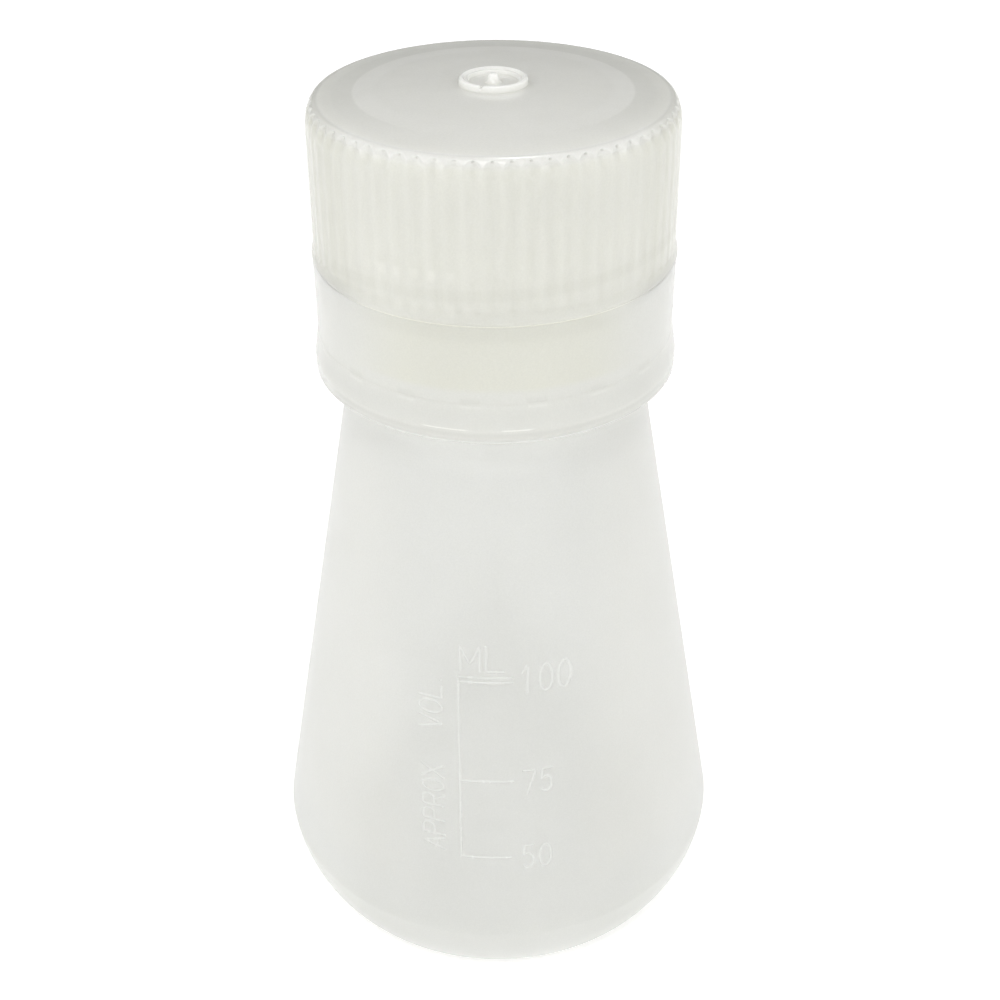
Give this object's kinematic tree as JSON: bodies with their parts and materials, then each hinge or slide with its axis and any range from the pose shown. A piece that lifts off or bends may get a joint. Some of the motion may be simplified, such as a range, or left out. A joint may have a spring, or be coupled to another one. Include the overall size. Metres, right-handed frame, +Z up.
{
  "type": "conical screw-cap flask",
  "caption": "Small conical translucent plastic laboratory flask with a ribbed screw cap, a seal disc under it, a loose neck ring and a raised volume scale.",
  "frame": {"origin": "centre of the standing ring, on the plane the flask rests on", "axes": "+Z up along the flask's axis; -Y is the side with the raised scale"},
  "size_m": [0.06, 0.06, 0.1148],
  "materials": {
    "body_pp": "natural translucent polypropylene, blow-moulded satin",
    "cap_pp": "natural translucent polypropylene, injection moulded, slightly warm",
    "ring_pp": "natural translucent polypropylene, smooth",
    "seal_pe": "natural low-density polyethylene, off-white, soft"
  },
  "bodies": {
    "flask": {"flask_body": "body_pp"},
    "seal": {"seal_disc": "seal_pe"},
    "cap": {"screw_cap": "cap_pp"},
    "ring": {"neck_ring": "ring_pp"}
  },
  "joints": [
    {"name": "cap_lift", "type": "slide", "parent": "flask", "child": "seal", "axis": [0, 0, 1], "range_m": [0, 0.0076]},
    {"name": "cap_turn", "type": "hinge", "parent": "seal", "child": "cap", "pos_m": [0, 0, 0.1], "axis": [0, 0, 1], "range_deg": [0, 640]},
    {"name": "ring_turn", "type": "hinge", "parent": "flask", "child": "ring", "pos_m": [0, 0, 0.09], "axis": [0, 0, 1], "continuous": true}
  ],
  "couplings": [
    {"joint": "cap_lift", "follows": "cap_turn", "m_per_rad": 0.00067322}
  ]
}
